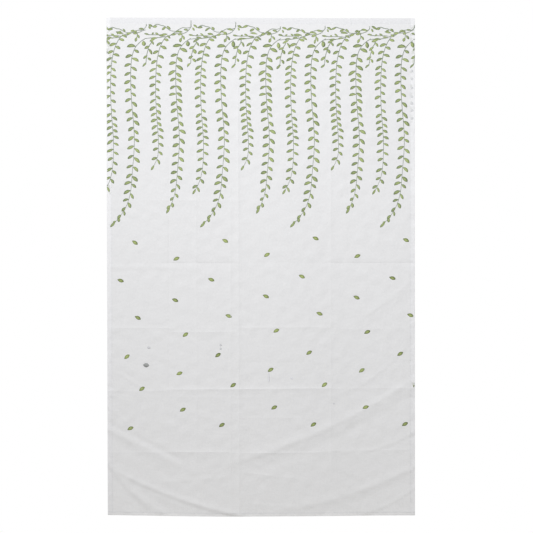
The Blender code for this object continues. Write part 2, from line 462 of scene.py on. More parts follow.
def grid_lines(marks, cell):
    """The marks in order, with even lines between them that are at most one cell apart."""
    marks = np.unique(np.round(marks, 6))
    filled = [
        np.linspace(here, there, int(np.ceil((there - here) / cell)) + 1)[:-1]
        for here, there in zip(marks, marks[1:])
    ]
    return np.concatenate([*filled, marks[-1:]])


def crest_marks(tables):
    """Grid lines at each crest, and at the steps to both sides of it."""
    places = {row[0] for table in tables for row in table}
    return np.concatenate([place + PRESSED_STEPS for place in sorted(places)])


side_lengths = hem_lengths(WIDTH / 2, SIDE_HEM, SIDE_GAP)
top_lengths = MIDDLE - hem_lengths(MIDDLE, TOP_HEM, END_GAP)
foot_lengths = MIDDLE + hem_lengths(MIDDLE, BOTTOM_HEM, END_GAP)
columns = grid_lines(
    np.concatenate([-side_lengths, crest_marks([DOWN_FOLDS]), side_lengths]), CLOTH_CELL
)
marks = np.concatenate([top_lengths, crest_marks([ACROSS_FOLDS, PRESSED_ACROSS]), foot_lengths])
rows = np.union1d(
    grid_lines([*marks[marks < FINE_FROM], FINE_FROM], CLOTH_CELL),
    grid_lines([FINE_FROM, *marks[marks > FINE_FROM]], FINE_CELL),
)
print("grid lines:", len(columns), "across and", len(rows), "down")

# %% Bend the lines along the folds
def bent_lines(column, row):
    """Moves each grid line over to follow the nearest folds' slant, by linear interpolation.

    Between two folds the shift changes evenly, and it is nothing at the hems.
    """
    def slants(table, low, high):
        """Places of the folds and their slants, between two ends that stay where they are."""
        main = sorted((fold["at"], fold["slant"]) for fold in rows_of(FOLD_COLUMNS, table))
        return [low, *[at for at, _ in main], high], [0.0, *[slant for _, slant in main], 0.0]

    edge = WIDTH / 2 - SIDE_HEM
    across = column + np.interp(column, *slants(DOWN_FOLDS, -edge, edge)) * row / DROP
    ends = slants(ACROSS_FOLDS, TOP_HEM, DROP - BOTTOM_HEM)
    down = row + np.interp(row, *ends) * column / WIDTH
    return across, down


lowest_fold = ACROSS_FOLDS[-1][0]
print("right end of the lowest fold's line:", np.round(bent_lines(WIDTH / 2, lowest_fold), 4))

# %% Put arrays into a mesh
CLOTH_MAP = "flat_cloth"


def piece_from(name, points, quads, flat):
    """An object from an array of points and one of quads, with the flat cloth as its UV map.

    Points that no quad uses are left out. flat gives each point's place on the cut cloth, in
    metres, and becomes the map, so that a weave runs on from one piece to the next.
    """
    used, quads = np.unique(quads, return_inverse=True)
    quads = quads.reshape(-1, 4)
    mesh = bpy.data.meshes.new(name)
    mesh.from_pydata(points[used], [], quads)
    mesh.uv_layers.new(name=CLOTH_MAP)
    mesh.uv_layers[0].data.foreach_set("uv", flat[used][quads.ravel()].ravel())
    mesh.shade_smooth()
    piece = bpy.data.objects.new(name, mesh)
    bpy.context.scene.collection.objects.link(piece)
    return piece, used


def grid_quads(row_count, column_count):
    """Quads between neighbouring points of a grid that is numbered row by row, facing forward."""
    corner = np.arange(row_count * column_count).reshape(row_count, column_count)
    return np.stack(
        [corner[:-1, :-1], corner[1:, :-1], corner[1:, 1:], corner[:-1, 1:]], axis=-1
    ).reshape(-1, 4)


print("map of each piece:", CLOTH_MAP, "and quads between 3 by 3 points:", len(grid_quads(3, 3)))

# %% Cut and hang the cloth
column_grid, row_grid = np.meshgrid(columns, rows)
across, down = bent_lines(column_grid, row_grid)
quads = grid_quads(*across.shape)
flat_cloth = np.stack([across.ravel(), -down.ravel()], axis=-1)
centre = flat_cloth[quads].mean(axis=1)
in_side = np.abs(centre[:, 0]) > WIDTH / 2 - SIDE_GAP / 2
in_top_tuck = -centre[:, 1] < top_lengths[TURN_STEPS + 1]
in_foot_tuck = -centre[:, 1] > foot_lengths[TURN_STEPS + 1]
quads = quads[~(in_side & (in_top_tuck | in_foot_tuck))]
cloth, _ = piece_from("voile_cloth", hang(across, down).reshape(-1, 3), quads, flat_cloth)
print("voile:", len(cloth.data.polygons), "quads")

# %% [markdown]
# ## The printed border
# A border of willow is screen printed on the cloth: a garland along the top, strands that hang
# from it and a scatter of fallen leaves. An image texture could carry it, but it would blur close
# up, so every leaf and stem here is a small surface of its own, charted in the design's own
# repeat. A leaf is a grid on the flat cloth and is hung by the same function as the cloth
# itself. Ink has no thickness that a finger could feel, but on a sheer cloth it shows on both
# faces, so a Solidify modifier gives it a front and a back.

# %% A leaf as a function of two parameters
LEAF_COLUMNS = ("across", "down", "turn", "length", "width", "arch", "tone")
LEAF_STEPS = 9
LEAF_ALONG = 0.5 - 0.5 * np.cos(np.linspace(0.0, np.pi, LEAF_STEPS))
LEAF_ACROSS = np.array([-1.0, 0.0, 1.0])
STALK_POWER = 1.0
TIP_POWER = 0.85
STALK_WIDTH = 0.0006
WIDEST_AT = STALK_POWER / (STALK_POWER + TIP_POWER)


def leaf_breadth(along):
    """along^stalk * (1 - along)^tip, scaled to be 1 at its widest: a thin stalk and a full tip."""
    most = WIDEST_AT**STALK_POWER * (1.0 - WIDEST_AT) ** TIP_POWER
    return along**STALK_POWER * (1.0 - along) ** TIP_POWER / most


def leaf_grids(rows):
    """Grids of flat places, one for each row of LEAF_COLUMNS, and a mark for each point.

    The midline starts at (across, down), runs length ahead at its turn, 0 to the right and 90
    down, and bows upwards by arch * length * 4 * along * (1 - along). Half the width times the
    breadth is laid off to both sides. The mark holds along, how far up the leaf and the tone.
    """
    leaf = dict(zip(LEAF_COLUMNS, np.asarray(rows, float).T[:, :, None, None]))
    along, side = np.meshgrid(LEAF_ALONG, LEAF_ACROSS, indexing="ij")
    cosine, sine = np.cos(np.radians(leaf["turn"])), np.sin(np.radians(leaf["turn"]))
    upward = np.where(cosine >= 0.0, 1.0, -1.0)
    bow = leaf["arch"] * leaf["length"] * 4.0 * along * (1.0 - along) * upward
    lean = leaf["arch"] * 4.0 * (1.0 - 2.0 * along) * upward
    out = side * (leaf["width"] * leaf_breadth(along) + STALK_WIDTH) / 2
    ahead = leaf["length"] * along - lean * out
    aside = bow + out
    across = leaf["across"] + ahead * cosine + aside * sine
    down = leaf["down"] + ahead * sine - aside * cosine
    marks = np.broadcast_arrays(along, side * upward, leaf["tone"])
    return np.stack([across, down], axis=-1), np.stack(marks, axis=-1)


print("a leaf has", LEAF_STEPS * len(LEAF_ACROSS), "points, and is widest at", round(WIDEST_AT, 2))

# %% A stem as a ribbon along a smooth line
def smooth_line(points, steps):
    """A curve through the points: cubics whose slope at a point is half its neighbours' step."""
    points = np.asarray(points, float)
    padded = np.vstack([2 * points[0] - points[1], points, 2 * points[-1] - points[-2]])
    before, here, there, after = (padded[first:len(padded) - 3 + first, None] for first in range(4))
    share = np.linspace(0.0, 1.0, steps, endpoint=False)[None, :, None]
    curve = (
        2 * here
        + (there - before) * share
        + (2 * before - 5 * here + 4 * there - after) * share**2
        + (3 * here - before - 3 * there + after) * share**3
    )
    return np.vstack([curve.reshape(-1, 2) / 2, points[-1:]])


def stem_grid(line, widths, tone):
    """A ribbon: half the width to each side of the line, from the first width to the last.

    Its marks hold the share of the line, the side and the tone.
    """
    share = np.linspace(0.0, 1.0, len(line))
    ahead = np.gradient(line, axis=0)
    ahead = ahead / np.linalg.norm(ahead, axis=1, keepdims=True)
    side = np.stack([ahead[:, 1], -ahead[:, 0]], axis=-1)
    half = (widths[0] + (widths[1] - widths[0]) * share) / 2
    places = line[:, None] + half[:, None, None] * LEAF_ACROSS[None, :, None] * side[:, None]
    marks = np.broadcast_arrays(share[:, None], LEAF_ACROSS[None, :], tone)
    return places, np.stack(marks, axis=-1)


arc = smooth_line([(0, 0), (1, 1), (2, 0)], 4)
print("a smooth line through 3 places, in 4 steps each, has", len(arc), "points")

# %% Lay grids of ink on the cloth
INK_MARKS = "ink_marks"
CUT_MARGIN = 0.0003


def print_piece(name, grids, thickness):
    """One piece from many pairs of a flat grid and its marks, cut off where the cloth is cut.

    A point past the cloth's raw edge is brought back to it, and a quad that lies wholly past it
    is left out. The grids are hung as the cloth is, and then get the ink's thickness.
    """
    quads, start = [], 0
    for places, _ in grids:
        quads.append(grid_quads(*places.shape[:2]) + start)
        start += places.shape[0] * places.shape[1]
    quads = np.concatenate(quads)
    places = np.concatenate([places.reshape(-1, 2) for places, _ in grids])
    marks = np.concatenate([marks.reshape(-1, 3) for _, marks in grids])
    limit = CUT_SIDE - CUT_MARGIN
    past = np.abs(places[:, 0]) > limit
    across = np.clip(places[:, 0], -limit, limit)
    quads = quads[~past[quads].all(axis=1)]
    flat = np.stack([across, -places[:, 1]], axis=-1)
    piece, used = piece_from(name, hang(across, places[:, 1]), quads, flat)
    attribute = piece.data.attributes.new(INK_MARKS, "FLOAT_VECTOR", "POINT")
    attribute.data.foreach_set("vector", marks[used].ravel())
    ink = piece.modifiers.new("ink", "SOLIDIFY")
    ink.thickness = thickness
    ink.offset = 0.0
    print(name, "quads:", len(quads))
    return piece


print("the ink stops short of the raw edge by, mm:", 1000 * CUT_MARGIN)

# %% [markdown]
# ## The repeat
# The screen is one repeat wide, about 380 mm, and holds two alike halves whose strands differ in
# length. Each pull of it prints the same leaves again. In finishing the cloth was drawn a little
# wider below its top, so the strands and the fallen leaves repeat at a slightly larger pitch.

# %% Halves of the repeat
HALVES = range(-1, 8)
GARLAND_PITCH = 0.1911
STRAND_PITCH = 0.1927
PRINT_SEED = 21
print_rng = np.random.default_rng(PRINT_SEED)


def moved(rows, across):
    """The same chart rows, moved to the right."""
    rows = np.array(rows, float)
    rows[:, 0] += across
    return rows


print("halves of the repeat:", len(HALVES), "at", GARLAND_PITCH, "to", STRAND_PITCH, "m")

# %% [markdown]
# ## The willow strands
# Each strand leaves the garland from the right, swings down, bulges a little to the right halfway
# and curls to the left at its tip. Two kinds take turns, and each is longer in one half of the
# repeat, so there are four. A strand is a formula of the drop, with its sizes in two tables. Its
# leaves could be scattered evenly, but in the design their pitch varies, and not alike on the two
# sides, so each side has its pitches in millimetres at a dozen heights.

# %% Sizes of the strands
KIND_COLUMNS = (
    "head", "swing", "swing_at", "fade", "bulge", "bulge_at", "tip_leaf", "tip_size", "tip_close",
)
KINDS = {
    "narrow": (0.079, 0.0414, 0.0876, 0.0599, 0.014, 0.554, 0.0265, 0.92, 0.10),
    "wide": (0.0885, 0.0650, 0.0885, 0.0350, 0.016, 0.524, 0.0310, 0.64, 0.38),
}
PITCH_AT = (0.10, 0.16, 0.21, 0.28, 0.36, 0.42, 0.47, 0.54, 0.61, 0.69, 0.77, 0.85)
STRAND_COLUMNS = (
    "kind", "half", "across", "tip", "curl", "curl_run",
    "left", "left_pitches", "right", "right_pitches",
)
STRANDS = [
    ("narrow", 0, -0.6446, 0.7500, 0.034, 0.130,
     0.1105, (33, 31, 29, 34, 40, 31, 25, 36, 42, 38, 33, 33),
     0.0925, (33, 31, 29, 34, 40, 31, 25, 35, 42, 34, 27, 27)),
    ("narrow", 1, -0.6446, 0.6477, 0.026, 0.100,
     0.1065, (31, 43, 34, 33, 32, 25, 27, 38, 42, 38, 36, 36),
     0.0915, (31, 43, 34, 33, 32, 25, 27, 34, 37, 26, 26, 26)),
    ("wide", 0, -0.5575, 0.8914, 0.085, 0.200,
     0.1235, (37, 39, 35, 37, 43, 40, 38, 39, 44, 33, 39, 27),
     0.1375, (37, 40, 35, 36, 42, 39, 38, 38, 43, 35, 41, 27)),
    ("wide", 1, -0.5575, 0.8273, 0.036, 0.150,
     0.1180, (41, 37, 33, 35, 31, 37, 37, 37, 43, 35, 37, 37),
     0.1335, (38, 38, 30, 29, 27, 36, 37, 38, 41, 38, 40, 38)),
]
BULGE_BREADTH = 0.15
CURL_POWER = 2.6


def strand_across(kind, strand, down):
    """Where a strand lies across at each drop.

    Its main line, plus a swing that dies away exponentially, plus a bell-shaped bulge, less a
    curl that grows with a power of the way into its last stretch.
    """
    swing = kind["swing"] * np.exp(-(down - kind["swing_at"]) / kind["fade"])
    bulge = kind["bulge"] * np.exp(-(((down - kind["bulge_at"]) / BULGE_BREADTH) ** 2))
    curling = np.clip((down - strand["tip"]) / strand["curl_run"] + 1.0, 0.0, None)
    return strand["across"] + swing + bulge - strand["curl"] * curling**CURL_POWER


print("strands charted:", len(STRANDS), "of", len(KINDS), "kinds")

# %% Heading of a strand, and the drops of its leaves
STRAND_STEP = 0.010
PITCH_STEP = 0.001
MILLIMETRE = 0.001


def strand_heading(kind, strand, down):
    """The strand's own direction in degrees, from its slope over one step."""
    ahead = strand_across(kind, strand, down + STRAND_STEP) - strand_across(kind, strand, down)
    return np.degrees(np.arctan2(STRAND_STEP, ahead))


def leaf_places(first, last, pitches):
    """Drops of the leaves: where a running count, which grows by 1 / pitch, is a whole number."""
    down = np.arange(first, last, PITCH_STEP)
    pitch = np.interp(down, PITCH_AT, pitches) * MILLIMETRE
    count = np.cumsum(PITCH_STEP / pitch)
    return np.interp(np.arange(int(count[-1]) + 1), count, down)


print("leaves down 1 m at a pitch of 40 mm:", len(leaf_places(0.0, 1.0, [40] * len(PITCH_AT))))

# %% Leaves of a strand
SIDE_COLUMNS = (
    "kind", "name", "turn_out", "follow_above", "follow_below", "length", "width", "first", "tone",
)
SIDES = [
    ("narrow", "left", 60.0, 0.1, 0.3, 0.0300, 0.0118, 1.05, 0.38),
    ("narrow", "right", -58.0, -0.3, 1.0, 0.0252, 0.0109, 0.85, 0.62),
    ("wide", "left", 62.0, 0.7, 0.3, 0.0305, 0.0125, 1.23, 0.38),
    ("wide", "right", -52.0, -0.5, 1.0, 0.0298, 0.0125, 1.00, 0.62),
]
TONE_SPREAD = 0.42
TURN_SPREAD = 6.0
PLACE_SPREAD = 0.0010
SIZE_SPREAD = 0.09
WIDTH_FOLLOWS = 0.5
TIP_SHRINK = 0.18
TIP_SLIMNESS = 3
ARCH = 0.07
ARCH_SPREAD = 0.035
STEM_TONE = 0.56
LAST_LEAF = 0.018
LAST_PAIR = 0.019
DOWNWARD = 90.0


def strand_leaves(kind, strand):
    """Rows of LEAF_COLUMNS: leaves at each side's own pitches, and one leaf along the tip.

    A leaf's turn is the downward direction, a share of how far the strand leans from it, and the
    angle between leaf and strand. The share differs above and below the bulge. Over the last
    stretch the leaves shrink and close up smoothly, each kind by its own share.
    """
    rows = []
    for side in rows_of(SIDE_COLUMNS, SIDES):
        if side["kind"] != strand["kind"]:
            continue
        start, pitches = strand[side["name"]], strand[side["name"] + "_pitches"]
        down = leaf_places(start, strand["tip"] - LAST_PAIR, pitches)
        count = len(down)
        down = down + print_rng.normal(0.0, PLACE_SPREAD, count)
        follow = np.where(down < kind["bulge_at"], side["follow_above"], side["follow_below"])
        lean = strand_heading(kind, strand, down) - DOWNWARD
        shrink = smooth_step((down - strand["tip"]) / TIP_SHRINK + 1.0)
        turn = DOWNWARD + follow * lean + side["turn_out"] * (1.0 - kind["tip_close"] * shrink)
        turn = turn + print_rng.normal(0.0, TURN_SPREAD, count)
        size = np.where(np.arange(count) == 0, side["first"], 1.0)
        size = size - (1.0 - kind["tip_size"]) * shrink
        size = size + print_rng.normal(0.0, SIZE_SPREAD, count)
        width = side["width"] * (1.0 - WIDTH_FOLLOWS + WIDTH_FOLLOWS * size)
        width = width * (1.0 + print_rng.normal(0.0, SIZE_SPREAD, count))
        arch = print_rng.normal(ARCH, ARCH_SPREAD, count)
        tone = side["tone"] + print_rng.uniform(-TONE_SPREAD, TONE_SPREAD, count)
        across = strand_across(kind, strand, down)
        rows.append(np.column_stack([across, down, turn, side["length"] * size, width, arch, tone]))
    tip = strand["tip"] - LAST_LEAF
    end = strand_across(kind, strand, tip)
    heading = strand_heading(kind, strand, tip)
    length = kind["tip_leaf"]
    rows.append([[end, tip, heading, length, length / TIP_SLIMNESS, 0.0, STEM_TONE]])
    return np.vstack(rows)


print("mean length of a leaf, mm:", round(1000 * np.mean([row[5] for row in SIDES]), 1))

# %% Draw the strands
STRAND_WIDTHS = (0.0032, 0.0019)
leaf_rows, stem_lines = [], []
for strand in rows_of(STRAND_COLUMNS, STRANDS):
    kind = dict(zip(KIND_COLUMNS, KINDS[strand["kind"]]))
    down = np.arange(kind["head"], strand["tip"] - LAST_LEAF / 2, STRAND_STEP)
    line = np.column_stack([strand_across(kind, strand, down), down])
    chart = strand_leaves(kind, strand)
    for half in HALVES:
        if half % 2 == strand["half"]:
            leaf_rows.append(moved(chart, half * STRAND_PITCH))
            stem_lines.append((moved(line, half * STRAND_PITCH), STRAND_WIDTHS, STEM_TONE))
print("strands:", len(stem_lines), "with", sum(map(len, leaf_rows)), "leaves")

# %% [markdown]
# ## The garland
# Along the top runs a loose garland of willow twigs, one cluster in each half of the repeat, with
# a short sprig under it. It is charted in millimetres from the cluster's upright twig and the top
# edge, as a small repeat is charted on squared paper. A rule could grow such twigs, but not these
# very ones. Each half gets its own unevenness, and its own droop at three heights.

# %% Chart of one cluster
GARLAND_AT = -0.4887
TWIGS = [
    [(-109, 80), (-85, 70), (-64, 64), (-37, 64), (-17, 56), (-7, 46), (0, 37)],
    [(28, 40), (45, 30), (64, 35), (78, 38), (91, 48), (105, 56), (122, 58)],
    [(-9, 68), (9, 72), (23, 73), (45, 73), (64, 73), (80, 75)],
    [(103, 75), (119, 64), (132, 55), (154, 44), (175, 45), (188, 42)],
    [(23, 86), (23, 94), (20, 108), (9, 124), (7, 138), (1, 159), (-1, 176), (-3, 192), (-17, 209)],
    [(-39, 64), (-39, 75), (-41, 86)],
    [(80, 80), (50, 85), (23, 86), (-4, 89)],
]
CLUSTER_COLUMNS = ("across", "down", "turn", "length", "width")
CLUSTER = [
    (28, 41, 210, 22, 9),
    (27, 41, -16, 22, 9),
    (7, 40, 63, 14, 7),
    (-11, 51, 192, 25, 8),
    (82, 42, 146, 21, 9),
    (88, 37, 42, 19, 9),
    (-66, 59, -24, 18, 7),
    (-57, 56, 6, 20, 7),
    (-64, 65, 165, 21, 9),
    (-37, 64, 172, 19, 9),
    (-38, 74, 60, 20, 9),
    (-40, 84, 114, 21, 10),
    (-97, 66, 189, 32, 9),
    (-103, 72, 34, 22, 9),
    (9, 72, 192, 20, 7),
    (53, 73, 208, 17, 7),
    (22, 74, -39, 11, 7),
    (76, 79, 184, 22, 7),
    (37, 89, 159, 28, 9),
    (48, 86, 182, 26, 7),
    (24, 99, 58, 22, 9),
    (-12, 97, 80, 26, 16),
    (16, 122, 152, 24, 10),
    (9, 131, 60, 23, 12),
    (5, 160, 148, 23, 10),
    (4, 172, 52, 21, 10),
    (-1, 194, 138, 23, 8),
]
SPRIG_TOPS = (33, 27, 11, 17, 36, 33, 34, 28, 30)
SPRIG_FOOT = 37
DROOP_AT = (35, 65, 95)
DROOPS = [
    (12, 5, 0),
    (-2, 0, 0),
    (2, 4, 2),
    (2, 6, 2),
    (11, 4, 6),
    (9, 7, 4),
    (9, 1, 4),
    (4, -1, 2),
    (4, 0, 0),
]
TWIG_WIDTHS = (0.0042, 0.0028)
TWIG_TONE = 0.50
TWIG_STEPS = 5
CLUSTER_SPREAD = 0.0014
CLUSTER_TURN_SPREAD = 6.0
CLUSTER_SIZE_SPREAD = 0.10
CLUSTER_ARCH = 0.05
print("one cluster:", len(CLUSTER), "leaves on", len(TWIGS), "twigs and a top twig")

# %% Draw the garland
def drooped(chart, droop):
    """Lowers a chart by a droop that is given at three heights, and is linear between them."""
    chart = np.array(chart, float)
    chart[:, 1] += np.interp(chart[:, 1], DROOP_AT, droop)
    return chart


in_millimetres = [name != "turn" for name in CLUSTER_COLUMNS]
for half, sprig_top, droop in zip(HALVES, SPRIG_TOPS, DROOPS):
    shift = GARLAND_AT + half * GARLAND_PITCH
    chart = drooped(CLUSTER, droop)
    chart[:, in_millimetres] *= MILLIMETRE
    count = len(chart)
    chart[:, :2] += print_rng.normal(0.0, CLUSTER_SPREAD, (count, 2))
    chart[:, 2] += print_rng.normal(0.0, CLUSTER_TURN_SPREAD, count)
    chart[:, 3:] *= 1.0 + print_rng.normal(0.0, CLUSTER_SIZE_SPREAD, (count, 2))
    arch = print_rng.normal(CLUSTER_ARCH, ARCH_SPREAD, count)
    tone = print_rng.uniform(0.0, 1.0, count)
    leaf_rows.append(moved(np.column_stack([chart, arch, tone]), shift))
    for twig in TWIGS:
        line = smooth_line(drooped(twig, droop), TWIG_STEPS) * MILLIMETRE
        stem_lines.append((moved(line, shift), TWIG_WIDTHS, TWIG_TONE))
    top_twig = np.array([(0, SPRIG_FOOT + droop[0]), (0, sprig_top)]) * MILLIMETRE
    stem_lines.append((moved(top_twig, shift), TWIG_WIDTHS, TWIG_TONE))
print("leaves so far:", sum(map(len, leaf_rows)), "on", len(stem_lines), "stems")

# %% Print the border
LEAF_INK = 0.0005
STEM_INK = 0.0004
leaves = print_piece("leaf_print", list(zip(*leaf_grids(np.vstack(leaf_rows)))), LEAF_INK)
stems = print_piece("stem_print", [stem_grid(*stem) for stem in stem_lines], STEM_INK)

# %% [markdown]
# ## Fallen leaves
# Below the strands, small leaves lie as if they had dropped from the willow, eleven to a repeat.
# Scattered at random they would lose the repeat that the eye finds, so they are charted too.
# Their rows bow upwards to the right, because this part of the cloth went through the printer a
# little aslant, and they spread a little with the drop. The screen also touched it twice, which
# left one grey leaf and some faint marks, and a row of dots shows through the right hem.

# %% Chart of the fallen leaves
FALLEN_REPEAT = 0.3897
FALLEN_COLUMNS = ("across", "down", "turn")
FALLEN = [
    (-0.544, 0.962, 28),
    (-0.364, 1.031, -26),
    (-0.604, 1.125, 20),
    (-0.369, 1.208, 25),
    (-0.529, 1.284, 24),
    (-0.324, 1.356, -31),
    (-0.574, 1.451, -36),
    (-0.349, 1.524, -26),
    (-0.509, 1.588, -36),
    (-0.334, 1.685, -27),
    (-0.557, 1.758, -33),
]
FALLEN_REPEATS = range(-1, 4)
FALLEN_SPREAD = 0.018
FALLEN_SPREAD_FROM = 1.28
FALLEN_LENGTH = 0.0285
FALLEN_WIDTH = 0.0144
FALLEN_TURN_SPREAD = 4.0
BOW_RISE = (0.019, -0.38, 0.50)
BOW_BACK = (0.007, 0.25, 0.15)
BOW_LEAD = 0.20
BOW_LOWER = (1.35, 0.35)


def bowed(across, down):
    """How far the rows have risen: one smooth step up, and a smaller one back.

    In the lower rows the step up comes sooner, and the step back fades away.
    """
    lower = smooth_step((down - BOW_LOWER[0]) / BOW_LOWER[1])
    rise, rise_at, rise_run = BOW_RISE
    back, back_at, back_run = BOW_BACK
    up = rise * smooth_step((across - rise_at + BOW_LEAD * lower) / rise_run)
    return up - back * (1.0 - lower) * smooth_step((across - back_at) / back_run)


def centred(across, down, turn, length, width, arch, tone):
    """A leaf row whose place is the leaf's middle, and not the foot of its stalk."""
    back = length / 2
    start = (across - back * np.cos(np.radians(turn)), down - back * np.sin(np.radians(turn)))
    return (*start, turn, length, width, arch, tone)


print("fallen leaves in a repeat:", len(FALLEN))

# %% Print the fallen leaves
fallen_rows = []
for repeat in FALLEN_REPEATS:
    for fallen in rows_of(FALLEN_COLUMNS, FALLEN):
        across = fallen["across"] + repeat * FALLEN_REPEAT
        across *= 1.0 + FALLEN_SPREAD * (fallen["down"] - FALLEN_SPREAD_FROM)
        turn = fallen["turn"] + print_rng.normal(0.0, FALLEN_TURN_SPREAD)
        place = (across, fallen["down"] - bowed(across, fallen["down"]), turn)
        tone = print_rng.uniform(0.0, 1.0)
        if abs(across) < CUT_SIDE:
            fallen_rows.append(centred(*place, FALLEN_LENGTH, FALLEN_WIDTH, ARCH / 2, tone))
fallen_leaves = print_piece("fallen_leaf_print", list(zip(*leaf_grids(fallen_rows))), LEAF_INK)

# %% Misprints, and the dots that show through
MISPRINTS = [
    (-0.494, 1.486, 6, 0.0270, 0.0180, 0.0, 1.0),
    (-0.482, 1.411, 20, 0.0160, 0.0110, 0.0, 0.3),
    (-0.174, 1.3985, 80, 0.0105, 0.0090, 0.0, 0.35),
    (-0.174, 1.4145, 85, 0.0105, 0.0090, 0.0, 0.35),
    (0.033, 1.5360, 90, 0.0470, 0.0080, 0.0, 0.0),
    (0.131, 1.5400, 40, 0.0150, 0.0100, 0.0, 0.0),
    (0.312, 1.6490, 20, 0.0090, 0.0070, 0.0, 0.1),
]
SHOWN_THROUGH_AT = 0.647
SHOWN_THROUGH = (0.226, 0.259, 0.298, 0.335, 0.364, 0.394, 0.428)
DOT = (35, 0.0125, 0.0105, 0.0, 0.25)
dots = [(SHOWN_THROUGH_AT, drop, *DOT) for drop in SHOWN_THROUGH]
misprint_rows = [centred(*row) for row in MISPRINTS + dots]
misprints = print_piece("misprints", list(zip(*leaf_grids(misprint_rows))), STEM_INK)

# %% [markdown]
# ## Sewing thread
# A lockstitch runs 1.5 mm inside each hem's inner edge, and shows as short dashes on both faces.
# It could be painted, but a real thread catches the light from the side, so a stitch is a small
# closed tube of four sides that dips into the cloth at its ends. One function makes a whole seam
# of them at once, from whole arrays of places.

# %% Stitches along a seam
STITCH_PITCH = 0.0040
STITCH_LENGTH = 0.0032
THREAD = 0.00045
STITCH_RISE = 0.00015
STITCH_ALONG = np.array([-1.0, -0.6, 0.6, 1.0])
STITCH_GIRTH = np.array([0.45, 1.0, 1.0, 0.45])
STITCH_ROUND = np.radians([45.0, 135.0, 225.0, 315.0])


def seam_stitches(start, end, behind, outward):
    """Points of a row of stitches, (stitch, ring, side, 3), from start to end on the panel.

    A stitch's point is its place on the seam, moved along it, sideways and out of the cloth by a
    ring of four points whose girth is smaller at the ends, where the thread goes through. behind
    is how far its face of the cloth lies back, and outward is -1 on the front and 1 on the back.
    """
    start, end = np.asarray(start), np.asarray(end)
    run = np.linalg.norm(end - start)
    ahead = (end - start) / run
    count = int(run / STITCH_PITCH)
    middle = start + ahead * ((np.arange(count) + 0.5) * run / count)[:, None]
    along = (STITCH_LENGTH / 2 * STITCH_ALONG)[None, :, None]
    girth = (THREAD / 2 * STITCH_GIRTH)[None, :, None]
    aside = girth * np.cos(STITCH_ROUND)[None, None, :]
    rise = girth * np.sin(STITCH_ROUND)[None, None, :] + STITCH_RISE * girth / THREAD
    x = middle[:, 0, None, None] + along * ahead[0] + aside * ahead[1]
    drop = middle[:, 1, None, None] + along * ahead[1] - aside * ahead[0]
    return panel_point(x, drop, behind + outward * rise)


def tube_quads(count, rings, sides):
    """Quads round count closed tubes of so many rings, with a quad over each four-sided end."""
    corner = np.arange(rings * sides).reshape(rings, sides)
    ahead, beside = corner[1:], np.roll(corner, -1, axis=1)
    walls = np.stack([corner[:-1], beside[:-1], beside[1:], ahead], axis=-1).reshape(-1, 4)
    one = np.vstack([walls, corner[0, ::-1], corner[-1]])
    return (one[None] + (np.arange(count) * rings * sides)[:, None, None]).reshape(-1, 4)


print("a seam of 0.1 m has", len(seam_stitches((0.0, 1.0), (0.1, 1.0), 0.0, -1.0)), "stitches")

# %% Sew the four hems, on both faces
SEAM_END = 0.002
SIDE_END = WIDTH / 2 - SEAM_END
FOOT_END = DROP - SEAM_END
SEAMS = [
    ((-SIDE_SEAM, SEAM_END), (-SIDE_SEAM, FOOT_END), SIDE_GAP),
    ((SIDE_SEAM, SEAM_END), (SIDE_SEAM, FOOT_END), SIDE_GAP),
    ((-SIDE_END, TOP_SEAM), (SIDE_END, TOP_SEAM), END_GAP),
    ((-SIDE_END, FOOT_SEAM), (SIDE_END, FOOT_SEAM), END_GAP),
]
stitch_points = np.concatenate(
    [
        seam_stitches(start, end, behind, outward)
        for start, end, gap in SEAMS
        for behind, outward in ((0.0, -1.0), (gap, 1.0))
    ]
)
stitch_count, ring_count, side_count = stitch_points.shape[:3]
stitch_points = stitch_points.reshape(-1, 3)
stitches, _ = piece_from(
    "hem_stitches",
    stitch_points,
    tube_quads(stitch_count, ring_count, side_count),
    stitch_points[:, [0, 2]],
)
print("stitches:", stitch_count)

# %% [markdown]
# ## A small language for finishes
# A finish is a network of shader nodes. Written node by node it hides its own formula, so a
# wrapped socket takes ordinary operators: 1 - mask adds the Math node that does it. Every other
# node comes from one method, which sets the node up first and then fills its sockets.

# %% A wrapped socket
class Wire:
    """A socket in an expression. Each operator adds a Math node and gives the wire out of it."""

    def __init__(self, network, socket):
        self.network = network
        self.socket = socket

    def maths(self, operation, *values):
        """The wire out of a Math node that works on the values, in their order."""
        return self.network.node("ShaderNodeMath", {"operation": operation}, values)

    def __add__(self, other):
        return self.maths("ADD", self, other)

    def __sub__(self, other):
        return self.maths("SUBTRACT", self, other)

    def __rsub__(self, other):
        return self.maths("SUBTRACT", other, self)

    def __mul__(self, other):
        return self.maths("MULTIPLY", self, other)

    def __pow__(self, other):
        return self.maths("POWER", self, other)

    def sine(self):
        """The sine of an angle in radians."""
        return self.maths("SINE", self)

    def size(self):
        """The value without its sign."""
        return self.maths("ABSOLUTE", self)

    def least(self, other):
        """The smaller of the two."""
        return self.maths("MINIMUM", self, other)

    def most(self, other):
        """The larger of the two."""
        return self.maths("MAXIMUM", self, other)

    __radd__ = __add__
    __rmul__ = __mul__


print("what a wire does by name:", [name for name in vars(Wire) if name[0] != "_"])

# %% Networks and finishes
class Network:
    """The emptied node tree of a material or a world, which is built by adding nodes."""

    def __init__(self, owner):
        owner.use_nodes = True
        self.tree = owner.node_tree
        self.tree.nodes.clear()

    def node(self, kind, settings=(), sockets=(), output=0):
        """Adds a node, sets it up, fills its sockets with numbers or wires, and gives one output."""
        made = self.tree.nodes.new(kind)
        for name, value in dict(settings).items():
            setattr(made, name, value)
        filled = sockets.items() if isinstance(sockets, dict) else enumerate(sockets)
        for key, value in filled:
            if isinstance(value, Wire):
                self.tree.links.new(value.socket, made.inputs[key])
            else:
                made.inputs[key].default_value = value
        return Wire(self, made.outputs[output]) if made.outputs else None


